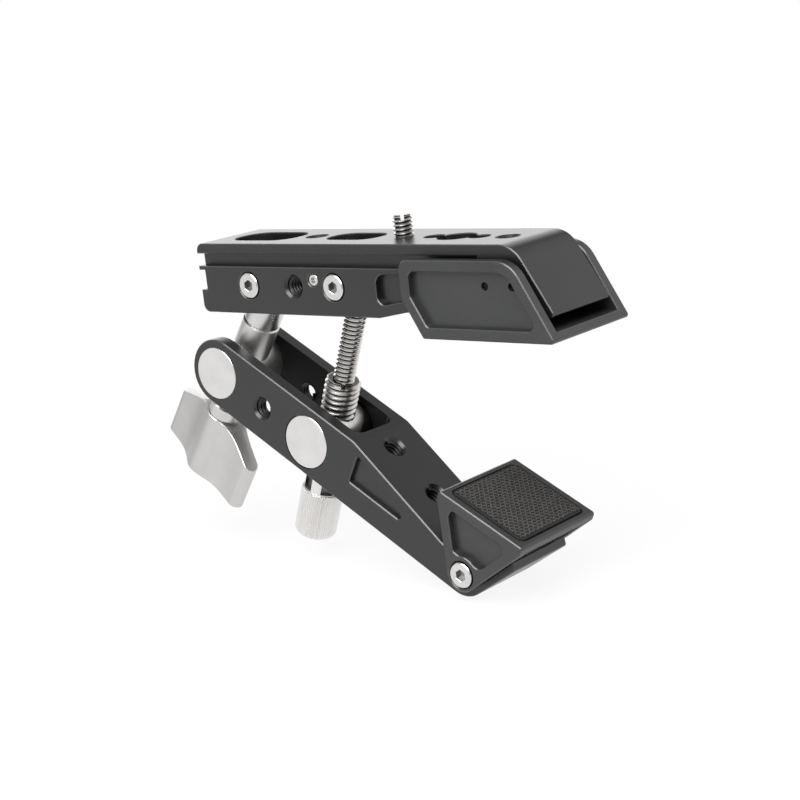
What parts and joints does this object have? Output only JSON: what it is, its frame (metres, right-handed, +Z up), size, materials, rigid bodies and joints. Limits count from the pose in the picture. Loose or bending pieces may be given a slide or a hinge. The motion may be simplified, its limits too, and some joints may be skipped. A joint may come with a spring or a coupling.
{
  "type": "super clamp",
  "caption": "Two-arm screw clamp with a rail-sided upper arm, fixed upper jaw, tilting padded lower jaw, wing screw, adjusting sleeve and threaded accessory holes.",
  "frame": {"origin": "where the stud's axis meets the upper arm's top face", "axes": "+X along the upper arm toward the jaws, +Y across it away from the set screw, +Z up along the stud"},
  "size_m": [0.1862, 0.0386, 0.1151],
  "materials": {
    "black_alloy": "black anodised",
    "stainless": "turned",
    "satin_alloy": "satin",
    "pad_rubber": "woven texture"
  },
  "bodies": {
    "upper_body": {"upper_arm": "black_alloy", "upper_jaw": "black_alloy", "upper_pad": "pad_rubber", "top_stud": "stainless", "rear_pivot_pin": "stainless", "rear_screw_near": "stainless", "rear_screw_far": "stainless", "mid_pivot_pin": "stainless", "mid_screw_near": "stainless", "mid_screw_far": "stainless", "jaw_dowel_rear": "stainless", "jaw_dowel_front": "stainless", "lock_screw": "stainless"},
    "rear_post": {"rear_cap": "stainless", "rear_trunnion": "stainless"},
    "pressure_tip": {"thrust_tip": "stainless"},
    "wing": {"wing_screw": "stainless", "wing_knob": "satin_alloy"},
    "fork": {"lower_arm": "black_alloy"},
    "tilting_jaw": {"lower_jaw": "black_alloy", "lower_pad": "pad_rubber", "jaw_pivot_pin": "stainless", "jaw_screw_near": "stainless", "jaw_screw_far": "stainless"},
    "thin_rod": {"rod_eye": "stainless", "mid_rod": "stainless"},
    "barrel": {"mid_trunnion": "stainless"},
    "sleeve": {"adjusting_sleeve": "stainless", "knurled_knob": "satin_alloy"}
  },
  "joints": [
    {"name": "rear_swing", "type": "hinge", "parent": "upper_body", "child": "rear_post", "pos_m": [-0.0552, 0, -0.0135], "axis": [0, -1, 0], "range_deg": [-2.2, 17.2]},
    {"name": "wing_travel", "type": "slide", "parent": "rear_post", "child": "pressure_tip", "axis": [-0.5736, 0, -0.8192], "range_m": [0, 0.004]},
    {"name": "wing_turn", "type": "hinge", "parent": "pressure_tip", "child": "wing", "pos_m": [-0.08962, 0, -0.06265], "axis": [-0.5736, 0, -0.8192], "range_deg": [-6, 1158]},
    {"name": "arm_close", "type": "hinge", "parent": "rear_post", "child": "fork", "pos_m": [-0.07619, 0, -0.04348], "axis": [0, -1, 0], "range_deg": [-1.29, 9.46]},
    {"name": "jaw_tilt", "type": "hinge", "parent": "fork", "child": "tilting_jaw", "pos_m": [0.02362, 0, -0.09938], "axis": [0, -1, 0], "range_deg": [-18, 18]},
    {"name": "rod_swing", "type": "hinge", "parent": "upper_body", "child": "thin_rod", "pos_m": [-0.0188, 0, -0.0135], "axis": [0, -1, 0], "range_deg": [-1.81, 13.87]},
    {"name": "rod_travel", "type": "slide", "parent": "thin_rod", "child": "barrel", "axis": [0.3733, 0, 0.9277], "range_m": [-0.00202, 0.0172]},
    {"name": "knob_turn", "type": "hinge", "parent": "barrel", "child": "sleeve", "pos_m": [-0.0392, 0, -0.0642], "axis": [0.3733, 0, 0.9277], "range_deg": [-269, 2241.2]}
  ],
  "couplings": [
    {"joint": "wing_turn", "follows": "wing_travel", "rad_per_m": 5026.5},
    {"joint": "rear_swing", "follows": "rod_travel", "rad_per_m": 17.251},
    {"joint": "arm_close", "follows": "rod_travel", "rad_per_m": 9.3969},
    {"joint": "rod_swing", "follows": "rod_travel", "rad_per_m": 13.874},
    {"joint": "knob_turn", "follows": "rod_travel", "rad_per_m": 2268.3}
  ]
}
